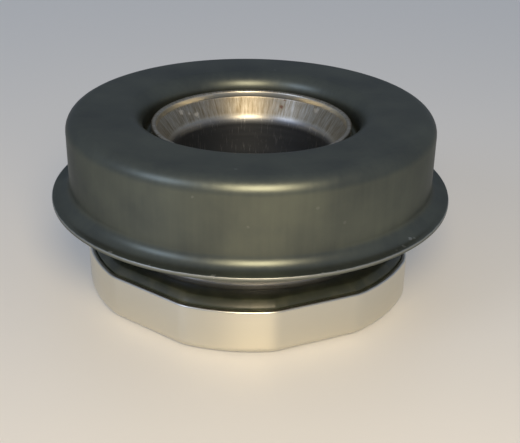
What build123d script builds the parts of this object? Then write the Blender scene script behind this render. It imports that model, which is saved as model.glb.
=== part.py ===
"""Unitised mechanical seal for the shaft of a small water pump.

Millimetres.  +Z runs along the shaft, from the impeller to the bearings.
The origin is on the shaft's axis, in the plane of the sleeve's underside.

The case, the upper spring seat, the bellows and the spring stay with the pump
housing.  The drive band and the seal ring float along the shaft.  The sleeve,
the gasket and the mating ring turn with the shaft.
"""
from build123d import *
import os
from math import cos, radians, tan

# ---- shaft and sleeve ----
bore_radius = 7.95  # pressed on a 16 mm shaft
sleeve_sheet = 0.5
floor_bend = 0.9  # under the foot of the tube
floor_join = 3.0  # from the tube to where its foot meets the cup's floor
flare_angle = 27.0  # from the axis
flare_bend = 2.5
flare_width = 2.05  # from the bore to the lip
lip_rise = 1.6  # the lip above the case's shoulder
lip_band = 0.75  # the flare's end is straightened to a short upright band
lip_bend = 0.6
cup_height = 4.61
cup_corner_rise = 0.56  # the round corners stand out from the six flats
cup_turn = 24.0  # turns the flats about the shaft
cup_bottom_fillet = 0.9
cup_corner_blend = 4.0

# ---- seal faces, from the tube outwards and from the floor upwards ----
ring_gap = 1.15  # round the tube
ring_thickness = 4.3
ring_margin = 1.6  # outside the running face
ring_edge = 0.36  # along the axis
ring_edge_in = 0.25
seal_gap = 1.65  # round the tube
nose_inset = 0.4
nose_width = 1.8  # the running face
nose_step = 0.6  # from the nose out to the seal ring's side
nose_height = 1.0
seal_body_height = 3.9
seal_edge = 0.25

# ---- seat gasket ----
gasket_gap = 0.85  # round the tube
gasket_floor = 1.3
gasket_wall = 1.75  # at the flats
gasket_rise = 0.72  # how far it stands above the cup's rim
gasket_bevel = 0.6
gasket_bottom_fillet = 0.7

# ---- bellows ----
rubber_wall = 0.75
collar_wall = 1.5  # clamped round the neck
collar_height = 1.9
throat_inset = 1.0  # from the seal ring's bore to the fold's foot
fold_reach = 2.2  # how far the fold stands out from its foot
fold_rise = 2.7  # the fold's height
fold_bend = 1.0
fold_wall = 0.95  # across the fold's outermost part
cap_thickness = 0.65  # rubber on top of the seal ring
grip_length = 2.6  # rubber down the seal ring's side

# ---- drive band, upper seat and spring ----
seat_sheet = 0.4
seat_bend = 0.6
seat_border = 0.25  # of each seat, outside the spring
band_lap = 1.6  # turned in over the rubber
band_foot_above_face = 2.2
upper_seat_depth = 2.4
wire = 1.4
spring_room = 0.96  # between the drive band and the spring
end_turns = 0.8  # closed, at each end
middle_turns = 1.5
closed_pitch = 1.46
ground = 0.25  # taken off each end

# ---- case ----
case_sheet = 0.4
case_height = 8.47
case_top_fillet = 1.5
flange_face = 0.48  # flat ring outside the flange's fillet
flange_fillet = 1.3
neck_gap = 1.05  # round the lip
neck_fillet = 1.0
shoulder_depth = 2.95  # from the case's top to the neck's floor
shoulder_fillet = 0.5

# ---- clearances ----
rubber_fit = 0.02  # rubber to what it grips
stack_fit = 0.02  # parts that rest on each other
face_gap = 0.01  # between the lapped faces
flare_clearance = 0.12  # between the flare and the case's neck
seat_clearance = 0.05  # from the upper seat's edge to the bend of the case's top

# ---- heights that follow ----
gasket_top = cup_height + gasket_rise
ring_bottom = sleeve_sheet + gasket_floor + stack_fit
face_height = ring_bottom + ring_thickness + face_gap
seal_body_bottom = face_height + nose_height
seal_body_top = seal_body_bottom + seal_body_height
rubber_cap_bottom = seal_body_top + stack_fit
rubber_cap_top = rubber_cap_bottom + cap_thickness
band_foot_top = face_height + band_foot_above_face
band_top = rubber_cap_top + stack_fit + seat_sheet
fold_foot = rubber_cap_top + rubber_wall
fold_head = fold_foot + fold_rise
fold_height = (fold_head + fold_foot) / 2
collar_top = fold_head + collar_height
case_ceiling = collar_top + neck_fillet - case_sheet
case_top = case_ceiling + case_sheet
flange_top = case_top - case_height + case_sheet
shoulder_top = case_top - shoulder_depth
lip_height = shoulder_top + lip_rise
upper_seat_top = case_ceiling - stack_fit
spring_floor = band_foot_top + stack_fit
spring_ceiling = upper_seat_top - seat_sheet - stack_fit

# ---- radii that follow, from the shaft outwards ----
tube_outer = bore_radius + sleeve_sheet
floor_join_radius = tube_outer + floor_join
lip_radius = bore_radius + flare_width
ring_inner = tube_outer + ring_gap
seal_body_inner = tube_outer + seal_gap
nose_inner = seal_body_inner + nose_inset
nose_outer = nose_inner + nose_width
ring_outer = nose_outer + ring_margin
seal_body_outer = nose_outer + nose_step
gasket_bore = tube_outer + gasket_gap
cup_flat_radius = ring_outer + rubber_fit + gasket_wall + rubber_fit + sleeve_sheet
cup_corner_radius = cup_flat_radius + cup_corner_rise
throat_radius = seal_body_inner + throat_inset
fold_radius = throat_radius + fold_reach
grip_inner = seal_body_outer + rubber_fit
grip_outer = grip_inner + rubber_wall
band_outer = grip_outer + rubber_fit + seat_sheet
spring_mean_radius = band_outer + spring_room + wire / 2
seat_radius = spring_mean_radius + wire / 2 + seat_border
case_radius = seat_radius + seat_clearance + case_top_fillet  # for a 36.5 mm housing bore
flange_radius = case_radius + flange_fillet + flange_face
neck_radius = lip_radius + neck_gap
collar_inner = neck_radius + case_sheet + rubber_fit
collar_outer = collar_inner + collar_wall
upper_seat_inner = collar_outer + rubber_fit

# ---- the flare's cone, and the hole in the case's shoulder that holds it back ----
flare_lean = tan(radians(flare_angle))
flare_root = lip_height - lip_band - (flare_width - sleeve_sheet) / flare_lean
flare_at_shoulder = (
    bore_radius
    + sleeve_sheet / cos(radians(flare_angle))
    + (shoulder_top - flare_root) * flare_lean
)
shoulder_hole = flare_at_shoulder + flare_clearance / cos(radians(flare_angle))

os.makedirs("parts", exist_ok=True)


def cup_outline(inset):
    """The cup's plan in the open sketch: a circle with six flats, moved in by an inset."""
    Circle(cup_corner_radius - inset)
    RegularPolygon(
        cup_flat_radius - inset,
        6,
        major_radius=False,
        rotation=cup_turn,
        mode=Mode.INTERSECT,
    )


# ---- sleeve: tube, flare, floor and cup, drawn in one piece ----
with BuildPart() as sleeve:
    with BuildSketch() as cup_plan:
        cup_outline(0)
        fillet(cup_plan.vertices(), cup_corner_blend)
    extrude(amount=cup_height)
    fillet(sleeve.faces().sort_by(Axis.Z)[0].edges(), cup_bottom_fillet)
    with BuildSketch(Plane.XY.offset(sleeve_sheet)) as cup_inside_plan:
        cup_outline(sleeve_sheet)
        fillet(cup_inside_plan.vertices(), cup_corner_blend - sleeve_sheet)
    extrude(amount=cup_height, mode=Mode.SUBTRACT)
    inside_floor = sleeve.faces().filter_by(Axis.Z).sort_by(Axis.Z)[1]
    fillet(inside_floor.edges(), cup_bottom_fillet - sleeve_sheet)
    with BuildSketch():
        Circle(floor_join_radius)
    extrude(amount=sleeve_sheet, mode=Mode.SUBTRACT)
    with BuildSketch(Plane.XZ):
        with BuildLine():
            FilletPolyline(
                (floor_join_radius, 0),
                (bore_radius, 0),
                (bore_radius, flare_root),
                (lip_radius - sleeve_sheet, lip_height - lip_band),
                (lip_radius - sleeve_sheet, lip_height),
                radius=[floor_bend, flare_bend, lip_bend],
            )
            offset(amount=sleeve_sheet, side=Side.RIGHT)
        make_face()
    revolve(axis=Axis.Z)
sleeve.part.label = "sleeve"
export_step(sleeve.part, "parts/sleeve.step")

# ---- seat gasket: a six-sided rubber cup with a round pocket ----
with BuildPart() as seat_gasket:
    with BuildSketch(Plane.XY.offset(sleeve_sheet + stack_fit)) as gasket_plan:
        cup_outline(sleeve_sheet + rubber_fit)
        fillet(gasket_plan.vertices(), cup_corner_blend - sleeve_sheet)
        Circle(gasket_bore, mode=Mode.SUBTRACT)
    extrude(amount=gasket_top - sleeve_sheet - stack_fit)
    underside = seat_gasket.faces().sort_by(Axis.Z)[0]
    fillet(underside.outer_wire().edges(), gasket_bottom_fillet)
    top_face = seat_gasket.faces().sort_by(Axis.Z)[-1]
    chamfer(top_face.outer_wire().edges(), gasket_bevel)
    with BuildSketch(Plane.XY.offset(ring_bottom - stack_fit)):
        Circle(ring_outer + rubber_fit)
    extrude(amount=cup_height, mode=Mode.SUBTRACT)
seat_gasket.part.label = "seat_gasket"
export_step(seat_gasket.part, "parts/seat_gasket.step")

# ---- mating ring: a plain lapped ring with broken edges ----
with BuildPart() as mating_ring:
    with BuildSketch(Plane.XY.offset(ring_bottom)):
        Circle(ring_outer)
        Circle(ring_inner, mode=Mode.SUBTRACT)
    extrude(amount=ring_thickness)
    wall = mating_ring.faces().filter_by(GeomType.CYLINDER).sort_by(SortBy.AREA)[-1]
    chamfer(wall.edges().filter_by(GeomType.CIRCLE), ring_edge, ring_edge_in, reference=wall)
mating_ring.part.label = "mating_ring"
export_step(mating_ring.part, "parts/mating_ring.step")

# ---- seal ring: carbon, with the narrow nose that runs on the mating ring ----
with BuildPart() as seal_ring:
    with BuildSketch(Plane.XY.offset(face_height)):
        Circle(nose_outer)
        Circle(nose_inner, mode=Mode.SUBTRACT)
    extrude(amount=nose_height)
    with BuildSketch(Plane.XY.offset(seal_body_bottom)):
        Circle(seal_body_outer)
        Circle(seal_body_inner, mode=Mode.SUBTRACT)
    extrude(amount=seal_body_height)
    body_rims = seal_ring.edges().filter_by(GeomType.CIRCLE).group_by(SortBy.RADIUS)[-1]
    chamfer(body_rims, seal_edge)
seal_ring.part.label = "seal_ring"
export_step(seal_ring.part, "parts/seal_ring.step")

# ---- drive band: a sheet ring round the rubber, with the spring's foot ----
with BuildPart() as drive_band:
    with BuildSketch(Plane.XZ):
        with BuildLine():
            FilletPolyline(
                (seat_radius, band_foot_top),
                (band_outer, band_foot_top),
                (band_outer, band_top),
                (band_outer - band_lap, band_top),
                radius=[seat_bend - seat_sheet, seat_bend],
            )
            offset(amount=seat_sheet, side=Side.LEFT)
        make_face()
    revolve(axis=Axis.Z)
drive_band.part.label = "drive_band"
export_step(drive_band.part, "parts/drive_band.step")

# ---- upper spring seat: under the case's top, its tube clamps the bellows ----
with BuildPart() as upper_spring_seat:
    with BuildSketch(Plane.XZ):
        with BuildLine():
            FilletPolyline(
                (seat_radius, upper_seat_top),
                (upper_seat_inner, upper_seat_top),
                (upper_seat_inner, upper_seat_top - upper_seat_depth),
                radius=[seat_bend],
            )
            offset(amount=seat_sheet, side=Side.LEFT)
        make_face()
    revolve(axis=Axis.Z)
upper_spring_seat.part.label = "upper_spring_seat"
export_step(upper_spring_seat.part, "parts/upper_spring_seat.step")

# ---- case: wall, flange, top, neck and shoulder, drawn in one piece ----
with BuildPart() as case:
    with BuildSketch(Plane.XZ):
        with BuildLine():
            FilletPolyline(
                (flange_radius, flange_top),
                (case_radius, flange_top),
                (case_radius, case_top),
                (neck_radius, case_top),
                (neck_radius, shoulder_top),
                (shoulder_hole, shoulder_top),
                radius=[flange_fillet, case_top_fillet, neck_fillet, shoulder_fillet],
            )
            offset(amount=case_sheet, side=Side.LEFT)
        make_face()
    revolve(axis=Axis.Z)
case.part.label = "case"
export_step(case.part, "parts/case.step")

# ---- bellows: collar round the neck, one fold, cap and grip on the seal ring ----
with BuildPart() as bellows:
    with BuildSketch(Plane.XZ) as bellows_section:
        with BuildLine():
            Polyline(
                (collar_outer, collar_top),
                (collar_outer, fold_head),
                (fold_radius, fold_height),
                (throat_radius + rubber_wall, fold_foot),
                (throat_radius + rubber_wall, rubber_cap_bottom),
                (throat_radius, rubber_cap_bottom),
                (throat_radius, fold_foot),
                (fold_radius - fold_wall, fold_height),
                (collar_inner, fold_head),
                (collar_inner, collar_top),
                close=True,
            )
        make_face()
        fold_corners = bellows_section.vertices().filter_by_position(Axis.Y, fold_foot, fold_head)
        fillet(fold_corners, fold_bend)
        with Locations((throat_radius, rubber_cap_top)):
            Rectangle(grip_outer - throat_radius, cap_thickness, align=(Align.MIN, Align.MAX))
        with Locations((grip_outer, rubber_cap_top)):
            Rectangle(rubber_wall, cap_thickness + grip_length, align=(Align.MAX, Align.MAX))
        cap_corner = bellows_section.vertices().group_by(Axis.X)[-1].sort_by(Axis.Y)[-1]
        fillet(cap_corner, seat_bend)
    revolve(axis=Axis.Z)
bellows.part.label = "bellows"
export_step(bellows.part, "parts/bellows.step")

# ---- coil spring: its end turns lie close and are ground flat ----
spring_rise = spring_ceiling - spring_floor - wire + 2 * ground
middle_rise = spring_rise - 2 * end_turns * closed_pitch
wire_turns = [
    (end_turns, end_turns * closed_pitch),
    (middle_turns, middle_rise),
    (end_turns, end_turns * closed_pitch),
]
with BuildPart() as coil_spring:
    with BuildLine() as wire_path:
        turned = 0
        wire_height = spring_floor + wire / 2 - ground
        for turns, rise in wire_turns:
            stretch = Helix(rise / turns, rise, spring_mean_radius, mode=Mode.PRIVATE)
            add(Pos(0, 0, wire_height) * Rot(0, 0, 360 * turned) * stretch)
            turned += turns
            wire_height += rise
    with BuildSketch(Plane(origin=wire_path.line @ 0, z_dir=wire_path.line % 0)):
        Circle(wire / 2)
    sweep(path=wire_path.line)
    split(bisect_by=Plane.XY.offset(spring_floor), keep=Keep.TOP)
    split(bisect_by=Plane.XY.offset(spring_ceiling), keep=Keep.BOTTOM)
coil_spring.part.label = "coil_spring"
export_step(coil_spring.part, "parts/coil_spring.step")
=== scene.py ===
"""Dresses the unitised shaft seal of a small water pump.

Lengths are in millimetres until a piece is finished, and in metres after that.
Heights run up from the underside of the sleeve, radii out from the shaft's axis.
"""

from __future__ import annotations

import logging
import math
from dataclasses import dataclass, field
from enum import Enum
from typing import Callable

import bpy
from mathutils import Matrix, Vector

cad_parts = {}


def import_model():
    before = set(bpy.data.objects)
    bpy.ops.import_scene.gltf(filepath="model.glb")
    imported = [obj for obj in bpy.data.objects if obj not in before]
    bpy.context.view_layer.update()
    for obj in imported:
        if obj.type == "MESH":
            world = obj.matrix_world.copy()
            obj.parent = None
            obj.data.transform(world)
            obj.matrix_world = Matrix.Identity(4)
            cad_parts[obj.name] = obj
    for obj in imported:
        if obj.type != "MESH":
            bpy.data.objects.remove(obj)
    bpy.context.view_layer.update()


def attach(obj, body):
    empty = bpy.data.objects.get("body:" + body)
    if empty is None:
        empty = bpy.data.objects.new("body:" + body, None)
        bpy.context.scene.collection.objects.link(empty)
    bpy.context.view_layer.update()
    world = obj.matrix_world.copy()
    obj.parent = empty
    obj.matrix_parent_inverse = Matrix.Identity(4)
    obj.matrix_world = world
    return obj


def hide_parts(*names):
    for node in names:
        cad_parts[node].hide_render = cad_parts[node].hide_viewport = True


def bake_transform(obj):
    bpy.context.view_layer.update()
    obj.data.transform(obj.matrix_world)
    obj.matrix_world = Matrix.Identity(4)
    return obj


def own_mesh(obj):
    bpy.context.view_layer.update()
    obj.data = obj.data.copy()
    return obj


LOG = logging.getLogger("shaft_seal")
MM = 0.001
# the distance in millimetres within which two points count as one
NEAR = 0.001
# how straight up or down a level face's normal points
LEVEL = 0.999

Point = tuple[float, float]
Outline = list[Point]


class Body(str, Enum):
    """The three groups that move against each other."""

    STATIONARY = "stationary"
    FLOATING = "floating"
    ROTOR = "rotor"


# ---------------------------------------------------------------- drawing


def rounded(corners: Outline, radii: list[float], steps: int = 8) -> Outline:
    """Rounds the inner corners of a line in the radius and height plane.

    Args:
        corners: The line's corners as (radius, height).
        radii: One radius for each corner between the ends, 0 for a sharp one.
        steps: Edges in each rounded corner.

    Returns:
        The line with an arc of points in place of each rounded corner.
    """
    line = [corners[0]]
    for before, corner, after, radius in zip(corners, corners[1:], corners[2:], radii):
        if radius == 0:
            line.append(corner)
            continue
        tip = Vector(corner)
        back = (Vector(before) - tip).normalized()
        ahead = (Vector(after) - tip).normalized()
        half = back.angle(ahead) / 2
        middle = tip + (back + ahead).normalized() * radius / math.sin(half)
        start = tip + back * radius / math.tan(half) - middle
        end = tip + ahead * radius / math.tan(half) - middle
        for step in range(steps + 1):
            share = step / steps
            spoke = start * math.sin((1 - share) * (math.pi - 2 * half))
            spoke += end * math.sin(share * (math.pi - 2 * half))
            point = middle + spoke.normalized() * radius
            line.append((point.x, point.y))
    line.append(corners[-1])
    return line


def linear(code: str) -> tuple[float, float, float, float]:
    """Turns an sRGB hex code into a linear colour.

    Args:
        code: Six hex digits after a hash.

    Returns:
        Linear red, green, blue and an alpha of 1.
    """
    parts = [int(code[i : i + 2], 16) / 255 for i in (1, 3, 5)]
    flat = [p / 12.92 if p <= 0.04045 else ((p + 0.055) / 1.055) ** 2.4 for p in parts]
    return (*flat, 1.0)


# ---------------------------------------------------------------- workshop


def clear_bench() -> None:
    """Leaves nothing selected, so that an operator reaches only the next piece."""
    if bpy.context.object and bpy.context.object.mode != "OBJECT":
        bpy.ops.object.mode_set(mode="OBJECT")
    bpy.ops.object.select_all(action="DESELECT")


def pick(*pieces: bpy.types.Object) -> None:
    """Selects these pieces alone and makes the first one active.

    Args:
        pieces: The objects to work on.
    """
    clear_bench()
    for piece in pieces:
        piece.select_set(True)
    bpy.context.view_layer.objects.active = pieces[0]


def edit_all(piece: bpy.types.Object, kind: str = "VERT") -> None:
    """Opens a piece for editing with all of it selected.

    Args:
        piece: The object to edit.
        kind: VERT, EDGE or FACE.
    """
    pick(piece)
    bpy.ops.object.mode_set(mode="EDIT")
    bpy.ops.mesh.select_mode(type=kind)
    bpy.ops.mesh.select_all(action="SELECT")


def edit_some(
    piece: bpy.types.Object, kind: str, wanted: Callable[[Vector, Vector], bool]
) -> None:
    """Opens a piece for editing with some of its edges or faces selected by their place.

    Args:
        piece: The object to edit.
        kind: EDGE or FACE.
        wanted: Says whether one is selected, from an edge's two ends or from a face's
            centre and normal.
    """
    edit_all(piece, kind)
    bpy.ops.mesh.select_all(action="DESELECT")
    bpy.ops.object.mode_set(mode="OBJECT")
    if kind == "FACE":
        for face in piece.data.polygons:
            face.select = bool(wanted(face.center, face.normal))
    else:
        points = piece.data.vertices
        for edge in piece.data.edges:
            edge.select = bool(wanted(*(points[i].co for i in edge.vertices)))
    bpy.ops.object.mode_set(mode="EDIT")


def turn(name: str, outline: Outline, facets: int = 240) -> bpy.types.Object:
    """Turns an outline round the shaft's axis, loop by loop.

    Args:
        name: The new object's name.
        outline: Points as (radius, height); each one becomes a loop.
        facets: Edges in each loop.

    Returns:
        The shell, in millimetres.
    """
    clear_bench()
    radius, height = outline[0]
    bpy.ops.mesh.primitive_circle_add(vertices=facets, radius=radius, location=(0, 0, height))
    bpy.ops.object.transform_apply(location=True, rotation=True, scale=True)
    piece = bpy.context.object
    piece.name = name
    edit_all(piece)
    for next_radius, next_height in outline[1:]:
        rise = (0, 0, next_height - height)
        bpy.ops.mesh.extrude_edges_move(TRANSFORM_OT_translate={"value": rise})
        scale = next_radius / radius
        bpy.ops.transform.resize(value=(scale, scale, 1), center_override=(0, 0, next_height))
        radius, height = next_radius, next_height
    bpy.ops.object.mode_set(mode="OBJECT")
    return piece


def close_ring(piece: bpy.types.Object) -> None:
    """Joins a turned outline's last loop to its first, and points its faces outwards.

    Args:
        piece: A turned shell whose outline ends where it starts.
    """
    edit_all(piece)
    bpy.ops.mesh.remove_doubles(threshold=NEAR / 2)
    bpy.ops.mesh.normals_make_consistent(inside=False)
    bpy.ops.object.mode_set(mode="OBJECT")


def face_towards(piece: bpy.types.Object, place: Vector, way: Vector) -> None:
    """Turns an open shell's faces so that the one nearest a place looks a given way.

    Args:
        piece: The shell.
        place: A point on it.
        way: The way that the face there has to look.
    """
    edit_all(piece)
    bpy.ops.mesh.normals_make_consistent(inside=False)
    bpy.ops.object.mode_set(mode="OBJECT")
    nearest = min(piece.data.polygons, key=lambda face: (face.center - place).length)
    if nearest.normal.dot(way) < 0:
        edit_all(piece)
        bpy.ops.mesh.flip_normals()
        bpy.ops.object.mode_set(mode="OBJECT")


def apply_modifier(piece: bpy.types.Object, kind: str, **settings: object) -> None:
    """Adds a modifier with its settings and applies it.

    Args:
        piece: The object to change.
        kind: The modifier's type, such as SOLIDIFY.
        settings: Its properties by name.
    """
    pick(piece)
    modifier = piece.modifiers.new(kind.title(), kind)
    for key, value in settings.items():
        setattr(modifier, key, value)
    bpy.ops.object.modifier_apply(modifier=modifier.name)


def thicken(piece: bpy.types.Object, sheet: float) -> None:
    """Gives a shell its sheet thickness, behind its faces.

    Args:
        piece: The shell.
        sheet: The thickness.
    """
    apply_modifier(
        piece, "SOLIDIFY", thickness=sheet, offset=-1.0, use_even_offset=True, use_rim=True
    )


def break_edges(piece: bpy.types.Object, width: float, above: float = 40.0) -> None:
    """Rounds the sharp edges a little, as tumbling or trimming leaves them.

    Args:
        piece: The object.
        width: The rounding's width.
        above: Edges that turn by more degrees than this are rounded.
    """
    apply_modifier(
        piece,
        "BEVEL",
        width=width,
        segments=3,
        limit_method="ANGLE",
        angle_limit=math.radians(above),
        use_clamp_overlap=True,
    )


def join(first: bpy.types.Object, *others: bpy.types.Object) -> None:
    """Makes several shells one object.

    Args:
        first: The object that stays.
        others: The objects that go into it.
    """
    pick(first, *others)
    bpy.ops.object.join()


def fill_at(piece: bpy.types.Object, height: float) -> None:
    """Fills the flat ring between two open loops that lie at one height.

    Args:
        piece: The object.
        height: The loops' height.
    """
    edit_all(piece, "EDGE")
    bpy.ops.mesh.select_all(action="DESELECT")
    bpy.ops.mesh.select_non_manifold(
        use_wire=True, use_boundary=True, use_multi_face=False, use_non_contiguous=False
    )
    bpy.ops.object.mode_set(mode="OBJECT")
    points = piece.data.vertices
    for edge in piece.data.edges:
        if any(abs(points[i].co.z - height) > 2 * NEAR for i in edge.vertices):
            edge.select = False
    bpy.ops.object.mode_set(mode="EDIT")
    bpy.ops.mesh.fill(use_beauty=True)
    bpy.ops.object.mode_set(mode="OBJECT")


Source = bpy.types.Node | bpy.types.NodeSocket
Tree = bpy.types.NodeTree


def node(
    tree: Tree, kind: str, settings: dict | None = None, links: dict | None = None
) -> bpy.types.Node:
    """Adds one node with its settings and its links.

    Args:
        tree: The material's node tree.
        kind: The node's type, without the word ShaderNode.
        settings: Properties by name, and sockets' values by name or number.
        links: Other nodes or their outputs, by the name or number of the socket they go to.

    Returns:
        The new node.
    """
    made = tree.nodes.new("ShaderNode" + kind)
    for key, value in (settings or {}).items():
        if isinstance(key, str) and hasattr(made, key):
            setattr(made, key, value)
        else:
            made.inputs[key].default_value = value
    for key, source in (links or {}).items():
        if isinstance(source, bpy.types.Node):
            source = source.outputs[0]
        tree.links.new(source, made.inputs[key])
    return made


# ---------------------------------------------------------------- finishes


@dataclass(frozen=True)
class Mark:
    """A small mark at one place on the surface, in millimetres."""

    place: tuple[float, float, float]
    radius: float
    strength: float = 1.0


def marked(tree: Tree, place: Source, marks: tuple[Mark, ...], ragged: float) -> Source:
    """Finds where small marks lie, each with an uneven outline.

    Args:
        tree: The material's node tree.
        place: Object coordinates in millimetres.
        marks: The marks.
        ragged: How uneven their outlines are, as a share of their radius.

    Returns:
        A mark's strength inside it, and 0 elsewhere.
    """
    rough = node(tree, "TexNoise", {"Scale": 4.0, "Detail": 2.0}, {"Vector": place})
    total: Source | None = None
    for mark in marks:
        away = node(tree, "VectorMath", {"operation": "DISTANCE", 1: mark.place}, {0: place})
        reach = node(
            tree,
            "Math",
            {"operation": "MULTIPLY_ADD", 1: 2 * ragged * mark.radius},
            {0: rough, 2: away.outputs["Value"]},
        )
        edge = mark.radius * (1 + ragged)
        spot = node(
            tree,
            "MapRange",
            {"From Min": edge * 0.75, "From Max": edge, "To Min": mark.strength, "To Max": 0.0},
            {"Value": reach},
        )
        if total is None:
            total = spot
        else:
            total = node(tree, "Math", {"operation": "MAXIMUM"}, {0: total, 1: spot})
    return total


@dataclass(frozen=True)
class Finish:
    """What every finish has: its name, its slot and its plain values."""

    name: str
    slot: str
    colour: str
    metallic: float
    roughness: float

    def material(self) -> bpy.types.Material:
        """Builds the material.

        Returns:
            The new material.
        """
        made = bpy.data.materials.new(self.name)
        made.use_nodes = True
        tree = made.node_tree
        tree.nodes.clear()
        metres = node(tree, "TexCoord").outputs["Object"]
        place = node(tree, "VectorMath", {"operation": "SCALE", "Scale": 1 / MM}, {0: metres})
        plain = {
            "Base Color": linear(self.colour),
            "Metallic": self.metallic,
            "Roughness": self.roughness,
        }
        shader = node(tree, "BsdfPrincipled", plain | self.gloss(), self.pattern(tree, place))
        node(tree, "OutputMaterial", links={"Surface": shader})
        return made

    def gloss(self) -> dict:
        """Gives the shader's further plain values."""
        return {}

    def pattern(self, tree: Tree, place: Source) -> dict:
        """Draws what the surface shows beyond its plain values.

        Args:
            tree: The material's node tree; not used by the plain finish.
            place: Object coordinates in millimetres; not used by the plain finish.

        Returns:
            Nodes by the shader's socket that they go to.
        """
        return {}

    def towards(self, other: str) -> dict:
        """Gives the settings of a mix from the plain colour to another one."""
        return {"data_type": "RGBA", 6: linear(self.colour), 7: linear(other)}

    def surfaced(
        self,
        tree: Tree,
        colour: Source,
        gloss: Source,
        relief: Source,
        spread: Point,
        depth: float,
    ) -> dict:
        """Lets one pattern vary the roughness and one raise the surface.

        Args:
            tree: The material's node tree.
            colour: The node that mixes the colour.
            gloss: The pattern that varies the roughness.
            relief: The pattern that raises the surface.
            spread: The lowest and highest roughness, as shares of the plain one.
            depth: How far the relief stands up, in millimetres.

        Returns:
            Nodes by the shader's socket that they go to.
        """
        low, high = (self.roughness * share for share in spread)
        limits = {"From Min": 0.3, "From Max": 0.7, "To Min": low, "To Max": high}
        rough = node(tree, "MapRange", limits, {"Value": gloss})
        bump = node(tree, "Bump", {"Distance": depth * MM}, {"Height": relief})
        return {"Base Color": colour.outputs[2], "Roughness": rough, "Normal": bump}


@dataclass(frozen=True)
class SealingLacquer(Finish):
    """Baked sealing lacquer on drawn steel.

    The film is a few hundredths of a millimetre thick, so the metal's satin shows
    through it: dark grey, faintly green, with a soft highlight. The wall keeps faint
    draw lines, the film has a slight orange peel, and the flange's trimmed edge is
    almost bare and chipped, with a painted highlight along its upper corner.
    """

    chips: tuple[Mark, ...] = ()

    def gloss(self) -> dict:
        """Darkens the film where light crosses it at a slant, and so twice as far."""
        return {"Specular Tint": (0.5, 0.5, 0.5, 1.0)}

    def pattern(self, tree: Tree, place: Source) -> dict:
        """Draws clouds, draw lines, orange peel, the bare edge with its painted highlight, and
        the chips.

        Args:
            tree: The material's node tree.
            place: Object coordinates in millimetres.

        Returns:
            Nodes by the shader's socket that they go to.
        """
        cloud = node(tree, "TexNoise", {"Scale": 0.2, "Detail": 4.0}, {"Vector": place})
        upright = node(tree, "VectorMath", {"operation": "MULTIPLY", 1: (2, 2, 0.12)}, {0: place})
        lines = node(tree, "TexNoise", {"Scale": 1.0, "Detail": 3.0}, {"Vector": upright})
        tone = node(tree, "Math", {"operation": "MULTIPLY_ADD", 1: 0.25}, {0: lines, 2: cloud})
        shade = node(tree, "MapRange", {"From Min": 0.4, "From Max": 0.85}, {"Value": tone})
        film = node(tree, "Mix", self.towards("#676c63"), {0: shade})
        flat = node(tree, "VectorMath", {"operation": "MULTIPLY", 1: (1, 1, 0)}, {0: place})
        out = node(tree, "VectorMath", {"operation": "LENGTH"}, {0: flat}).outputs["Value"]
        wear = node(tree, "TexNoise", {"Scale": 1.2, "Detail": 3.0}, {"Vector": place})
        worn = node(tree, "Math", {"operation": "MULTIPLY_ADD", 1: 0.12}, {0: wear, 2: out})
        edge = node(tree, "MapRange", {"From Min": 20.0, "From Max": 20.06}, {"Value": worn})
        height = node(tree, "SeparateXYZ", links={0: place}).outputs["Z"]
        # the rim's cut edge is painted pale as bare metal, and its upper corner paler still as a
        # painted highlight; the lower half keeps the film
        rubbed = node(
            tree,
            "MapRange",
            {"From Min": 9.74, "From Max": 9.9, "To Min": 0.12, "To Max": 0.75},
            {"Value": height},
        )
        edge = node(tree, "Math", {"operation": "MULTIPLY"}, {0: edge, 1: rubbed})
        chips = marked(tree, place, self.chips, 0.9)
        bare = node(tree, "Math", {"operation": "MAXIMUM"}, {0: edge, 1: chips})
        colour = node(
            tree,
            "Mix",
            {"data_type": "RGBA", 7: linear("#aeb1ac")},
            {0: bare, 6: film.outputs[2]},
        )
        peel = node(tree, "TexNoise", {"Scale": 2.2, "Detail": 1.0}, {"Vector": place})
        relief = node(tree, "Math", {"operation": "SUBTRACT"}, {0: peel, 1: chips})
        return self.surfaced(tree, colour, lines, relief, (0.96, 1.04), 0.004)


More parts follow.
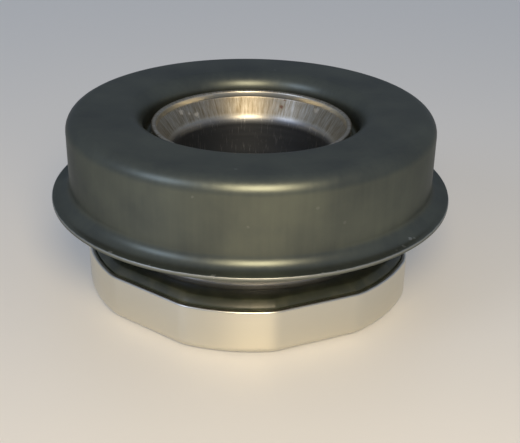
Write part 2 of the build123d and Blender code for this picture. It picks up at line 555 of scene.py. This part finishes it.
@dataclass(frozen=True)
class DrawnStainless(Finish):
    """Deep-drawn stainless sheet, tumbled but not polished.

    It is bright and a little soft. The cup keeps faint lines that run round it, the
    flare has stretch marks that run up it, and the bore is dull from the punch and is
    painted darker as shade. Here and there is a scuff or a speck of rust from another part.
    """

    rust: tuple[Mark, ...] = ()
    scuffs: tuple[Mark, ...] = ()

    def pattern(self, tree: Tree, place: Source) -> dict:
        """Draws stretch marks, draw lines, the dull bore with its painted shade, scuffs and rust.

        Args:
            tree: The material's node tree.
            place: Object coordinates in millimetres.

        Returns:
            Nodes by the shader's socket that they go to.
        """
        height = node(tree, "SeparateXYZ", links={0: place}).outputs["Z"]
        flat = node(tree, "VectorMath", {"operation": "MULTIPLY", 1: (1, 1, 0)}, {0: place})
        out = node(tree, "VectorMath", {"operation": "LENGTH"}, {0: flat}).outputs["Value"]
        unit = node(tree, "VectorMath", {"operation": "NORMALIZE"}, {0: flat})
        # stretch marks lie about 0.2 mm apart on the flare, 9 mm from the axis
        climb = node(tree, "VectorMath", {"operation": "MULTIPLY", 1: (0, 0, 0.7)}, {0: place})
        fan = node(
            tree,
            "VectorMath",
            {"operation": "MULTIPLY_ADD", 1: (45, 45, 0)},
            {0: unit, 2: climb},
        )
        streak = node(
            tree, "TexNoise", {"Scale": 1.0, "Detail": 5.0, "Roughness": 0.7}, {"Vector": fan}
        )
        thin = node(
            tree,
            "MapRange",
            {"From Min": 0.32, "From Max": 0.68, "To Min": 0.45},
            {"Value": streak},
        )
        above = node(tree, "MapRange", {"From Min": 13.9, "From Max": 14.6}, {"Value": height})
        below = node(tree, "MapRange", {"From Min": 16.1, "From Max": 15.95}, {"Value": height})
        flare = node(tree, "Math", {"operation": "MULTIPLY"}, {0: above, 1: below})
        # the trimmed lip is as dull as the marks
        trim = node(tree, "MapRange", {"From Min": 16.5, "From Max": 16.62}, {"Value": height})
        flare = node(tree, "Math", {"operation": "MAXIMUM"}, {0: flare, 1: trim})
        marks = node(tree, "Math", {"operation": "MULTIPLY"}, {0: thin, 1: flare})
        shade = node(tree, "Mix", self.towards("#7d7056"), {0: marks})
        # the punch leaves the bore dull, with scratches about 0.3 mm apart up it;
        # its colour is painted darker and cooler there as shade
        inside = node(tree, "MapRange", {"From Min": 8.3, "From Max": 8.05}, {"Value": out})
        scratch = node(tree, "MapRange", {"From Min": 0.58, "From Max": 0.7}, {"Value": streak})
        painted_bore_shade = node(
            tree,
            "Mix",
            {"data_type": "RGBA", 6: linear("#74777a"), 7: linear("#b4b5b3")},
            {0: scratch},
        )
        bore = node(
            tree,
            "Mix",
            {"data_type": "RGBA"},
            {0: inside, 6: shade.outputs[2], 7: painted_bore_shade.outputs[2]},
        )
        scuffs = marked(tree, place, self.scuffs, 0.9)
        rubbed = node(
            tree,
            "Mix",
            {"data_type": "RGBA", 7: linear("#d9d6ca")},
            {0: scuffs, 6: bore.outputs[2]},
        )
        rust = marked(tree, place, self.rust, 0.5)
        colour = node(
            tree,
            "Mix",
            {"data_type": "RGBA", 7: linear("#5e412e")},
            {0: rust, 6: rubbed.outputs[2]},
        )
        spoilt = node(tree, "Math", {"operation": "MULTIPLY_ADD", 1: 0.7}, {0: scuffs, 2: rust})
        metal = node(
            tree, "Math", {"operation": "SUBTRACT", 0: 1.0, "use_clamp": True}, {1: spoilt}
        )
        level = node(
            tree, "VectorMath", {"operation": "MULTIPLY", 1: (0.05, 0.05, 2.4)}, {0: place}
        )
        lines = node(tree, "TexNoise", {"Scale": 1.0, "Detail": 4.0}, {"Vector": level})
        dull = node(tree, "Math", {"operation": "MAXIMUM"}, {0: marks, 1: scuffs})
        dull = node(tree, "Math", {"operation": "MAXIMUM"}, {0: dull, 1: inside})
        dull = node(tree, "Math", {"operation": "MAXIMUM"}, {0: dull, 1: rust})
        rough = node(
            tree,
            "MapRange",
            {"From Min": 0.25, "From Max": 0.75, "To Min": -0.03, "To Max": 0.03},
            {"Value": lines},
        )
        rough = node(tree, "Math", {"operation": "MULTIPLY_ADD", 1: 0.12}, {0: dull, 2: rough})
        rough = node(tree, "Math", {"operation": "ADD", 1: self.roughness}, {0: rough})
        relief = node(
            tree, "Math", {"operation": "MULTIPLY_ADD", 1: -0.8}, {0: marks, 2: scuffs}
        )
        relief = node(
            tree, "Math", {"operation": "MULTIPLY_ADD", 1: 0.3}, {0: lines, 2: relief}
        )
        bump = node(tree, "Bump", {"Distance": 0.01 * MM}, {"Height": relief})
        return {
            "Base Color": colour.outputs[2],
            "Metallic": metal,
            "Roughness": rough,
            "Normal": bump,
        }


@dataclass(frozen=True)
class NitrileRubber(Finish):
    """Nitrile rubber with carbon black, pressed in a steel mould.

    It is a satin black, a little dusty, with the mould's fine grain.
    """

    dust: str = "#5f5d52"

    def pattern(self, tree: Tree, place: Source) -> dict:
        """Draws the dust and the mould's grain, drawn at 0.15 mm to show at all.

        Args:
            tree: The material's node tree.
            place: Object coordinates in millimetres.

        Returns:
            Nodes by the shader's socket that they go to.
        """
        patch = node(tree, "TexNoise", {"Scale": 0.6, "Detail": 6.0}, {"Vector": place})
        dusty = node(
            tree,
            "MapRange",
            {"From Min": 0.45, "From Max": 0.8, "To Max": 0.4},
            {"Value": patch},
        )
        colour = node(tree, "Mix", self.towards(self.dust), {0: dusty})
        grain = node(tree, "TexNoise", {"Scale": 6.5, "Detail": 2.0}, {"Vector": place})
        return self.surfaced(tree, colour, grain, grain, (0.85, 1.15), 0.006)


@dataclass(frozen=True)
class GroundRing(Finish):
    """A hard seal ring: silicon carbide, or carbon graphite filled with resin.

    It is pressed and fired, ground round its side and lapped on its face. The side shows
    fine grinding lines and a faint mottle, the top is painted pale above a set height as a
    highlight, and no grain can be seen.
    """

    mottle: str = "#6a6557"
    index: float = 1.9
    # the height above which the ring is painted pale as a highlight
    highlight_above: float = 50.0

    def gloss(self) -> dict:
        """Gives the index: silicon carbide's is high, and carbon's with its resin lower."""
        return {"IOR": self.index}

    def pattern(self, tree: Tree, place: Source) -> dict:
        """Draws grinding lines about 0.15 mm apart, the mottle and the painted highlight on top.

        Args:
            tree: The material's node tree.
            place: Object coordinates in millimetres.

        Returns:
            Nodes by the shader's socket that they go to.
        """
        level = node(
            tree, "VectorMath", {"operation": "MULTIPLY", 1: (0.12, 0.12, 6.5)}, {0: place}
        )
        lines = node(tree, "TexNoise", {"Scale": 1.0, "Detail": 2.0}, {"Vector": level})
        patch = node(tree, "TexNoise", {"Scale": 1.2, "Detail": 4.0}, {"Vector": place})
        share = node(
            tree, "MapRange", {"From Min": 0.3, "From Max": 0.7, "To Max": 0.35}, {"Value": patch}
        )
        colour = node(tree, "Mix", self.towards(self.mottle), {0: share})
        height = node(tree, "SeparateXYZ", links={0: place}).outputs["Z"]
        # the upper chamfers and top face are painted pale: a painted highlight
        low, high = self.highlight_above, self.highlight_above + 0.04
        chamfer_highlight = node(tree, "MapRange", {"From Min": low, "From Max": high}, {"Value": height})
        colour = node(
            tree,
            "Mix",
            {"data_type": "RGBA", 7: linear("#b9b199")},
            {0: chamfer_highlight, 6: colour.outputs[2]},
        )
        return self.surfaced(tree, colour, lines, lines, (0.8, 1.2), 0.002)


@dataclass(frozen=True)
class OiledSteel(Finish):
    """Cold-rolled strip or drawn wire: grey steel, bright, with dull patches of oil."""

    dull: str = "#6d6f70"

    def pattern(self, tree: Tree, place: Source) -> dict:
        """Draws the dull patches and the lines that rolling or drawing left.

        Args:
            tree: The material's node tree.
            place: Object coordinates in millimetres.

        Returns:
            Nodes by the shader's socket that they go to.
        """
        patch = node(tree, "TexNoise", {"Scale": 0.4, "Detail": 5.0}, {"Vector": place})
        share = node(tree, "MapRange", {"From Min": 0.4, "From Max": 0.7}, {"Value": patch})
        colour = node(tree, "Mix", self.towards(self.dull), {0: share})
        level = node(
            tree, "VectorMath", {"operation": "MULTIPLY", 1: (0.2, 0.2, 5.0)}, {0: place}
        )
        lines = node(tree, "TexNoise", {"Scale": 1.0, "Detail": 2.0}, {"Vector": level})
        return self.surfaced(tree, colour, lines, lines, (0.8, 1.2), 0.003)


def finish_piece(
    piece: bpy.types.Object,
    replaced: str,
    body: Body | None,
    finish: Finish,
    crease: float = 35.0,
) -> None:
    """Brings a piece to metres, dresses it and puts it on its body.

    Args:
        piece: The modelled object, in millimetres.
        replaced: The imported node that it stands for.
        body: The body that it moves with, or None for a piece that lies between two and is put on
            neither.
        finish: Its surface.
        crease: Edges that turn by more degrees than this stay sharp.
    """
    pick(piece)
    piece.scale = (MM, MM, MM)
    bpy.ops.object.transform_apply(location=True, rotation=True, scale=True)
    bpy.ops.object.shade_smooth_by_angle(angle=math.radians(crease))
    piece.data.materials.clear()
    piece.data.materials.append(finish.material())
    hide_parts(replaced)
    if body:
        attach(piece, body.value)
    LOG.info("%s: %d faces", piece.name, len(piece.data.polygons))


# ---------------------------------------------------------------- the seal


@dataclass
class PressedCase:
    """The lacquered steel case, and the spring seat that lies under its top."""

    radius: float = 18.25
    top: float = 18.05
    top_bend: float = 1.5
    flange_radius: float = 20.03
    flange_top: float = 9.98
    flange_bend: float = 1.3
    neck_radius: float = 10.8
    neck_bend: float = 1.7
    shoulder_top: float = 15.1
    shoulder_hole: float = 9.76
    shoulder_bend: float = 0.5
    sheet: float = 0.4
    edge: float = 0.12
    seat_radius: float = 16.7
    seat_tube: float = 12.99
    seat_top: float = 17.63
    seat_foot: float = 15.23
    seat_bend: float = 0.6
    seat_edge: float = 0.08
    lacquer: Finish = SealingLacquer(
        "sealing_lacquer",
        "case",
        "#565b57",
        0.85,
        0.38,
        (
            Mark((14.7, -12.35, 10.05), 0.26, 0.55),
            Mark((15.1, -12.1, 10.03), 0.16, 0.4),
            Mark((13.94, -13.7, 9.99), 0.2, 0.4),
            Mark((13.2, -14.5, 9.98), 0.14, 0.3),
            Mark((-2.86, -19.68, 9.98), 0.26, 0.7),
            Mark((-12.1, -15.8, 9.98), 0.24, 0.6),
            Mark((7.7, -18.4, 9.98), 0.16, 0.6),
            Mark((6.4, -18.9, 9.98), 0.16, 0.6),
            Mark((-8.4, -18.05, 9.98), 0.14, 0.5),
            Mark((-1.08, -15.73, 18.05), 0.2, 0.14),
            Mark((-4.66, -17.64, 16.28), 0.16, 0.14),
            Mark((0.02, -18.25, 13.89), 0.16, 0.14),
            Mark((5.84, -17.29, 15.3), 0.2, 0.1),
            Mark((8.28, -16.27, 13.54), 0.2, 0.1),
            Mark((2.39, 12.71, 18.05), 0.14, 0.4),
        ),
    )
    steel: Finish = OiledSteel("cold_rolled_strip", "seat_steel", "#8f9192", 1.0, 0.38)

    def build(self) -> None:
        """Builds the case and its spring seat."""
        self.build_case()
        self.build_seat()

    def build_case(self) -> None:
        """Builds wall, flange, top, neck and shoulder from one sheet."""
        piece = turn(
            "lacquered_case",
            rounded(
                [
                    (self.flange_radius, self.flange_top),
                    (self.radius, self.flange_top),
                    (self.radius, self.top),
                    (self.neck_radius, self.top),
                    (self.neck_radius, self.shoulder_top),
                    (self.shoulder_hole, self.shoulder_top),
                ],
                [self.flange_bend, self.top_bend, self.neck_bend, self.shoulder_bend],
                10,
            ),
        )
        face_towards(piece, Vector((self.radius, 0, 14)), Vector((1, 0, 0)))
        thicken(piece, self.sheet)
        break_edges(piece, self.edge)
        finish_piece(piece, "case", Body.STATIONARY, self.lacquer)

    def build_seat(self) -> None:
        """Builds the upper spring seat, whose tube clamps the bellows."""
        piece = turn(
            "spring_seat",
            rounded(
                [
                    (self.seat_radius, self.seat_top),
                    (self.seat_tube, self.seat_top),
                    (self.seat_tube, self.seat_foot),
                ],
                [self.seat_bend],
            ),
            120,
        )
        face_towards(piece, Vector((15, 0, self.seat_top)), Vector((0, 0, 1)))
        thicken(piece, self.sheet)
        break_edges(piece, self.seat_edge)
        finish_piece(piece, "upper_spring_seat", Body.STATIONARY, self.steel)


@dataclass
class SpringPack:
    """The rubber bellows and the coil spring round it."""

    wire: float = 1.4
    coil_radius: float = 15.75
    floor: float = 8.35
    ceiling: float = 17.21
    ground: float = 0.25
    end_turns: float = 0.8
    middle_turns: float = 1.5
    closed_pitch: float = 1.46
    stroke: float = 2.0
    fold_top: float = 15.1
    fold_foot: float = 12.3
    rubber_edge: float = 0.12
    wire_facets: int = 24
    turn_steps: int = 72
    bellows_outline: Outline = field(
        default_factory=lambda: rounded(
            [
                (12.97, 17.05),
                (12.97, 15.15),
                (13.3, 13.8),
                (11.85, 12.45),
                (11.85, 11.7),
                (13.67, 11.7),
                (13.67, 8.45),
                (12.92, 8.45),
                (12.92, 11.05),
                (11.1, 11.05),
                (11.1, 12.45),
                (12.35, 13.8),
                (11.22, 15.15),
                (11.22, 17.05),
                (12.97, 17.05),
            ],
            [0.9, 0.9, 0.9, 0, 0.6, 0, 0, 0, 0, 0.9, 0.9, 0.9, 0.9],
        )
    )
    rubber: Finish = NitrileRubber("nitrile_rubber", "bellows_rubber", "#1b1c1c", 0.0, 0.6)
    spring_steel: Finish = OiledSteel(
        "drawn_spring_wire", "spring_wire", "#a7a6a2", 1.0, 0.3, "#86857f"
    )

    def build(self) -> None:
        """Builds the bellows and the spring."""
        self.build_bellows()
        self.build_spring()

    def build_bellows(self) -> None:
        """Builds the collar, the fold and the part that grips the seal ring."""
        piece = turn("rubber_bellows", self.bellows_outline, 120)
        close_ring(piece)
        break_edges(piece, self.rubber_edge)
        finish_piece(piece, "bellows", None, self.rubber)
        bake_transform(piece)

    def build_spring(self) -> None:
        """Builds the spring from three stretches of wire, and grinds its ends flat."""
        rise = self.ceiling - self.floor - self.wire + 2 * self.ground
        closed = self.end_turns * self.closed_pitch
        stretches = [
            (self.end_turns, closed),
            (self.middle_turns, rise - 2 * closed),
            (self.end_turns, closed),
        ]
        height = self.floor + self.wire / 2 - self.ground
        turned = 0.0
        parts = []
        for turns, climb in stretches:
            parts.append(self.wind(turned, height, turns, climb))
            turned += turns
            height += climb
        join(*parts)
        piece = parts[0]
        piece.name = "coiled_spring"
        edit_all(piece)
        bpy.ops.mesh.remove_doubles(threshold=NEAR)
        for level, way in ((self.floor, -1), (self.ceiling, 1)):
            bpy.ops.mesh.select_all(action="SELECT")
            bpy.ops.mesh.bisect(
                plane_co=(0, 0, level), plane_no=(0, 0, way), use_fill=True, clear_outer=True
            )
        bpy.ops.mesh.select_all(action="DESELECT")
        bpy.ops.mesh.select_non_manifold(
            use_wire=False, use_boundary=True, use_multi_face=False, use_non_contiguous=False
        )
        bpy.ops.mesh.edge_face_add()
        bpy.ops.mesh.select_all(action="SELECT")
        bpy.ops.mesh.normals_make_consistent(inside=False)
        bpy.ops.object.mode_set(mode="OBJECT")
        finish_piece(piece, "coil_spring", Body.STATIONARY, self.spring_steel)
        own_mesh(piece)

    def wind(self, start: float, height: float, turns: float, climb: float) -> bpy.types.Object:
        """Winds one stretch of wire of even pitch.

        Args:
            start: Turns wound before it.
            height: The height of the wire's middle at its start.
            turns: How many turns it makes.
            climb: How far it rises.

        Returns:
            The stretch, open at both ends.
        """
        clear_bench()
        angle = 2 * math.pi * start
        steps = max(2, round(self.turn_steps * turns))
        bpy.ops.mesh.primitive_circle_add(
            vertices=self.wire_facets, radius=self.wire / 2, rotation=(math.pi / 2, 0, 0)
        )
        bpy.ops.object.transform_apply(location=True, rotation=True, scale=True)
        piece = bpy.context.object
        edit_all(piece)
        bpy.ops.transform.translate(value=(self.coil_radius, 0, 0))
        bpy.ops.object.mode_set(mode="OBJECT")
        apply_modifier(
            piece,
            "SCREW",
            axis="Z",
            angle=2 * math.pi * turns,
            screw_offset=climb,
            steps=steps,
            render_steps=steps,
            use_merge_vertices=False,
        )
        pick(piece)
        piece.matrix_world = Matrix.Translation((0, 0, height)) @ Matrix.Rotation(angle, 4, "Z")
        bpy.ops.object.transform_apply(location=True, rotation=True, scale=True)
        return piece


@dataclass
class FloatingFace:
    """The carbon ring and the steel band that grips the rubber round it."""

    ring_outline: Outline = field(
        default_factory=lambda: [
            (10.5, 6.13),
            (12.3, 6.13),
            (12.3, 7.13),
            (12.65, 7.13),
            (12.9, 7.38),
            (12.9, 10.78),
            (12.65, 11.03),
            (10.1, 11.03),
            (10.1, 7.13),
            (10.5, 7.13),
            (10.5, 6.13),
        ]
    )
    band_radius: float = 14.09
    band_top: float = 12.12
    band_lap: float = 12.49
    foot_radius: float = 16.7
    foot_top: float = 8.33
    foot_bend: float = 0.3
    lap_bend: float = 0.6
    sheet: float = 0.4
    ring_edge: float = 0.05
    band_edge: float = 0.1
    carbon: Finish = GroundRing(
        "carbon_graphite", "carbon", "#2b2c2d", 0.0, 0.45, "#3a3b3b", 1.9
    )
    steel: Finish = OiledSteel("cold_rolled_band", "seat_steel", "#8f9192", 1.0, 0.38)

    def build(self) -> None:
        """Builds the carbon ring and its band."""
        ring = turn("carbon_ring", self.ring_outline, 180)
        close_ring(ring)
        break_edges(ring, self.ring_edge)
        finish_piece(ring, "seal_ring", Body.FLOATING, self.carbon)
        band = turn(
            "steel_band",
            rounded(
                [
                    (self.foot_radius, self.foot_top),
                    (self.band_radius, self.foot_top),
                    (self.band_radius, self.band_top),
                    (self.band_lap, self.band_top),
                ],
                [self.foot_bend, self.lap_bend],
            ),
            180,
        )
        face_towards(band, Vector((self.band_radius, 0, 10)), Vector((1, 0, 0)))
        thicken(band, self.sheet)
        break_edges(band, self.band_edge)
        finish_piece(band, "drive_band", Body.FLOATING, self.steel)


@dataclass
class TurningSleeve:
    """What turns with the shaft: the steel sleeve, its gasket and the mating ring."""

    bore: float = 7.95
    sheet: float = 0.5
    floor_join: float = 11.45
    foot_bend: float = 0.9
    flare: Outline = field(
        default_factory=lambda: [(7.95, 13.9), (9.45, 16.0), (9.5, 16.7)]
    )
    flare_bend: float = 1.85
    lip_bend: float = 0.2
    cup_corner: float = 16.75
    cup_flat: float = 16.19
    cup_height: float = 4.61
    cup_blend: float = 0.5
    cup_bend: float = 0.9
    cup_edge: float = 0.2
    first_flat: float = 54.0
    blank_facets: int = 72
    gasket_inset: float = 0.52
    gasket_blend: float = 0.12
    gasket_bottom: float = 0.52
    gasket_top: float = 5.33
    gasket_bevel: Point = (0.6, 0.6)
    gasket_bend: float = 0.7
    gasket_edge: float = 0.12
    pocket: Point = (13.92, 1.8)
    gasket_bore: float = 9.3
    ring_outline: Outline = field(
        default_factory=lambda: [
            (9.6, 2.07),
            (9.85, 1.82),
            (13.65, 1.82),
            (13.9, 2.18),
            (13.9, 5.76),
            (13.65, 6.12),
            (9.85, 6.12),
            (9.6, 5.87),
            (9.6, 2.07),
        ]
    )
    stainless: Finish = DrawnStainless(
        "drawn_stainless",
        "sleeve_steel",
        "#d5d2c6",
        1.0,
        0.3,
        (Mark((3.1, 8.37, 15.25), 0.22), Mark((3.45, 8.72, 15.9), 0.13, 0.8)),
        (
            Mark((-5.93, 6.34, 14.92), 0.36, 0.4),
            Mark((-7.48, 5.24, 15.55), 0.34, 0.4),
            Mark((-6.7, 5.82, 15.2), 0.2, 0.35),
            Mark((6.76, 6.27, 15.67), 0.4, 0.3),
        ),
    )
    ring_edge: float = 0.04
    rubber: Finish = NitrileRubber(
        "moulded_nitrile", "gasket_rubber", "#33372a", 0.0, 0.38, "#6a6a52"
    )
    ceramic: Finish = GroundRing(
        "silicon_carbide", "ring_ceramic", "#4c493a", 0.0, 0.32, "#6a6557", 2.65, 5.8
    )

    def build(self) -> None:
        """Builds the sleeve, the gasket and the mating ring."""
        self.build_sleeve()
        self.build_gasket()
        ring = turn("mating_face_ring", self.ring_outline, 240)
        close_ring(ring)
        break_edges(ring, self.ring_edge, above=20)
        finish_piece(ring, "mating_ring", Body.ROTOR, self.ceramic)

    def six_sided(
        self, name: str, inset: float, bottom: float, top: float, bend: float, blend: float
    ) -> bpy.types.Object:
        """Cuts six flats on a round blank, and takes its top and bottom off.

        Args:
            name: The new object's name.
            inset: How far the plan lies inside the cup's.
            bottom: The blank's underside.
            top: Its upper end.
            bend: The radius round its bottom.
            blend: How far each flat runs softly into the round.

        Returns:
            The open shell.
        """
        clear_bench()
        radius = self.cup_corner - inset
        flat = self.cup_flat - inset
        step = 360 / self.blank_facets
        bpy.ops.mesh.primitive_cylinder_add(
            vertices=self.blank_facets,
            radius=radius,
            depth=top - bottom,
            location=(0, 0, (top + bottom) / 2),
            rotation=(0, 0, math.radians((self.first_flat + step / 2) % step)),
        )
        bpy.ops.object.transform_apply(location=True, rotation=True, scale=True)
        piece = bpy.context.object
        piece.name = name
        ways = [math.radians(self.first_flat + 60 * side) for side in range(6)]
        edit_all(piece)
        for way in ways:
            across = Vector((math.cos(way), math.sin(way), 0))
            bpy.ops.mesh.select_all(action="SELECT")
            bpy.ops.mesh.bisect(
                plane_co=across * flat, plane_no=across, use_fill=True, clear_outer=True
            )
        reach = math.acos(flat / radius)

        def at_blend(one: Vector, two: Vector) -> bool:
            """Finds the upright edges where a flat meets the round.

            Args:
                one: An edge's first end.
                two: Its second end.

            Returns:
                Whether the edge is one of them.
            """
            if (one.xy - two.xy).length > 10 * NEAR:
                return False
            angle = math.atan2(one.y, one.x)
            turns = [(angle - way + math.pi) % (2 * math.pi) - math.pi for way in ways]
            return min(abs(abs(turned) - reach) for turned in turns) < 10 * NEAR

        edit_some(piece, "EDGE", at_blend)
        bpy.ops.mesh.bevel(offset=blend, segments=4, profile=0.5, affect="EDGES")
        edit_some(piece, "EDGE", lambda one, two: max(one.z, two.z) < bottom + NEAR)
        bpy.ops.mesh.bevel(offset=bend, segments=8, profile=0.5, affect="EDGES")
        edit_some(
            piece,
            "FACE",
            lambda middle, normal: abs(normal.z) > LEVEL
            and (middle.z > top - NEAR or middle.z < bottom + NEAR),
        )
        bpy.ops.mesh.delete(type="FACE")
        bpy.ops.object.mode_set(mode="OBJECT")
        return piece

    def build_sleeve(self) -> None:
        """Builds cup, floor, tube and flare as one drawn sheet."""
        cup = self.six_sided("drawn_sleeve", 0, 0, self.cup_height, self.cup_bend, self.cup_blend)
        tube = turn(
            "tube",
            rounded(
                [(self.floor_join, 0), (self.bore, 0), *self.flare],
                [self.foot_bend, self.flare_bend, self.lip_bend],
            ),
            180,
        )
        join(cup, tube)
        fill_at(cup, 0)
        face_towards(cup, Vector((self.bore, 0, 8)), Vector((-1, 0, 0)))
        thicken(cup, self.sheet)
        break_edges(cup, self.cup_edge)
        finish_piece(cup, "sleeve", Body.ROTOR, self.stainless)

    def build_gasket(self) -> None:
        """Builds the six-sided rubber cup with its round pocket."""
        bevel_in, bevel_up = self.gasket_bevel
        top = self.gasket_top - bevel_up
        piece = self.six_sided(
            "seat_gasket_rubber",
            self.gasket_inset,
            self.gasket_bottom,
            top,
            self.gasket_bend,
            self.gasket_blend,
        )
        edit_some(piece, "EDGE", lambda one, two: min(one.z, two.z) > top - NEAR)
        bpy.ops.mesh.extrude_edges_move(TRANSFORM_OT_translate={"value": (0, 0, bevel_up)})
        scale = 1 - bevel_in / (self.cup_corner - self.gasket_inset)
        bpy.ops.transform.resize(
            value=(scale, scale, 1), center_override=(0, 0, self.gasket_top)
        )
        bpy.ops.object.mode_set(mode="OBJECT")
        wall, floor = self.pocket
        pocket = turn(
            "pocket",
            [
                (wall, self.gasket_top),
                (wall, floor),
                (self.gasket_bore, floor),
                (self.gasket_bore, self.gasket_bottom),
            ],
            180,
        )
        join(piece, pocket)
        fill_at(piece, self.gasket_top)
        fill_at(piece, self.gasket_bottom)
        close_ring(piece)
        break_edges(piece, self.gasket_edge, above=25)
        finish_piece(piece, "seat_gasket", Body.ROTOR, self.rubber)


# ---------------------------------------------------------------- the studio


@dataclass(frozen=True)
class SatinBoard(Finish):
    """Pale satin-coated board: matt when looked down on, with a broad sheen towards a lamp."""

    def pattern(self, tree: Tree, place: Source) -> dict:
        """Lifts the board a little for the camera and for reflections, as a backdrop.

        Args:
            tree: The material's node tree.
            place: Object coordinates in millimetres; not used here.

        Returns:
            Nodes by the shader's socket that they go to.
        """
        rays = node(tree, "LightPath").outputs
        seen = node(
            tree,
            "Math",
            {"operation": "MAXIMUM"},
            {0: rays["Is Camera Ray"], 1: rays["Is Glossy Ray"]},
        )
        seen = node(
            tree, "Math", {"operation": "MAXIMUM"}, {0: seen, 1: rays["Is Transmission Ray"]}
        )
        glow = node(tree, "Math", {"operation": "MULTIPLY", 1: 0.125}, {0: seen})
        return {"Emission Strength": glow}

    def gloss(self) -> dict:
        """Gives the sheen and the backdrop's tint."""
        return {"Specular IOR Level": 1.0, "Emission Color": linear("#eef4ff")}


@dataclass(frozen=True)
class Studio:
    """A pale floor, two soft lamps, a soft sky and the camera."""

    floor: Finish = SatinBoard("satin_board", "", "#ded9cc", 0.15, 0.55)
    focal: float = 937.0
    distance: float = 95.58
    elevation: float = 26.07
    roll: float = -0.99
    aim: tuple[float, float, float] = (0.0, 0.0, 11.6)
    aim_pixel: Point = (251.04, 167.54)
    frame: Point = (520.0, 443.0)
    sensor: float = 36.0
    lamp_aim: float = 0.01

    def build(self) -> None:
        """Builds everything round the seal."""
        self.build_floor()
        self.add_lamp("warm_lamp", "#ffe9c4", 6, 36, 0.13, (0.052, 0.052), 0.135)
        self.add_lamp("window_lamp", "#d3e0ff", -55, 32, 0.35, (0.13, 0.13), 0.2)
        self.build_sky()
        self.build_camera()

    def build_floor(self) -> None:
        """Lays the floor."""
        clear_bench()
        bpy.ops.mesh.primitive_plane_add(size=6, location=(0, 0, 0))
        floor = bpy.context.object
        floor.name = "floor"
        floor.data.materials.append(self.floor.material())

    def add_lamp(
        self,
        name: str,
        colour: str,
        azimuth: float,
        elevation: float,
        away: float,
        size: tuple[float, float],
        power: float,
    ) -> None:
        """Hangs one soft lamp that looks at the seal.

        Args:
            name: The lamp's name.
            colour: Its colour.
            azimuth: Degrees to the right of the camera's side.
            elevation: Degrees above the floor.
            away: Its distance, in metres.
            size: Its width and height, in metres.
            power: Its power, in watts.
        """
        turned, raised = math.radians(azimuth), math.radians(elevation)
        way = Vector(
            (
                math.sin(turned) * math.cos(raised),
                -math.cos(turned) * math.cos(raised),
                math.sin(raised),
            )
        )
        lamp = bpy.data.lights.new(name, "AREA")
        lamp.shape = "RECTANGLE"
        lamp.size, lamp.size_y = size
        lamp.energy = power
        lamp.color = linear(colour)[:3]
        hung = bpy.data.objects.new(name, lamp)
        bpy.context.scene.collection.objects.link(hung)
        hung.location = way * away + Vector((0, 0, self.lamp_aim))
        hung.rotation_euler = way.to_track_quat("Z", "Y").to_euler()

    def build_sky(self) -> None:
        """Gives the soft light that comes from all round."""
        sky = bpy.data.worlds.new("soft_sky")
        bpy.context.scene.world = sky
        sky.use_nodes = True
        light = sky.node_tree.nodes["Background"]
        light.inputs["Color"].default_value = linear("#c9d6ee")
        light.inputs["Strength"].default_value = 0.44

    def build_camera(self) -> None:
        """Sets the camera so that the aim lands on its pixel."""
        raised, rolled = math.radians(self.elevation), math.radians(self.roll)
        ahead = Vector((0, math.cos(raised), -math.sin(raised)))
        right, up = Vector((1, 0, 0)), Vector((0, math.sin(raised), math.cos(raised)))
        side = right * math.cos(rolled) - up * math.sin(rolled)
        above = right * math.sin(rolled) + up * math.cos(rolled)
        offset_x = (self.aim_pixel[0] - self.frame[0] / 2) / self.focal * self.distance
        offset_y = (self.aim_pixel[1] - self.frame[1] / 2) / self.focal * self.distance
        spot = Vector(self.aim) - ahead * self.distance - side * offset_x + above * offset_y
        lens = bpy.data.cameras.new("camera")
        lens.sensor_width = self.sensor
        lens.sensor_fit = "HORIZONTAL"
        lens.lens = self.sensor * self.focal / self.frame[0]
        lens.clip_start = 0.005
        camera = bpy.data.objects.new("camera", lens)
        bpy.context.scene.collection.objects.link(camera)
        basis = Matrix((side, above, -ahead)).transposed().to_4x4()
        camera.matrix_world = Matrix.Translation(spot * MM) @ basis
        bpy.context.scene.camera = camera


def main() -> None:
    """Builds the seal, group by group, and then its studio."""
    logging.basicConfig(level=logging.INFO, format="%(message)s")
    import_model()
    bpy.context.scene.view_settings.view_transform = "Standard"
    for group in (PressedCase(), SpringPack(), FloatingFace(), TurningSleeve()):
        group.build()
    Studio().build()


if __name__ == "__main__":
    main()
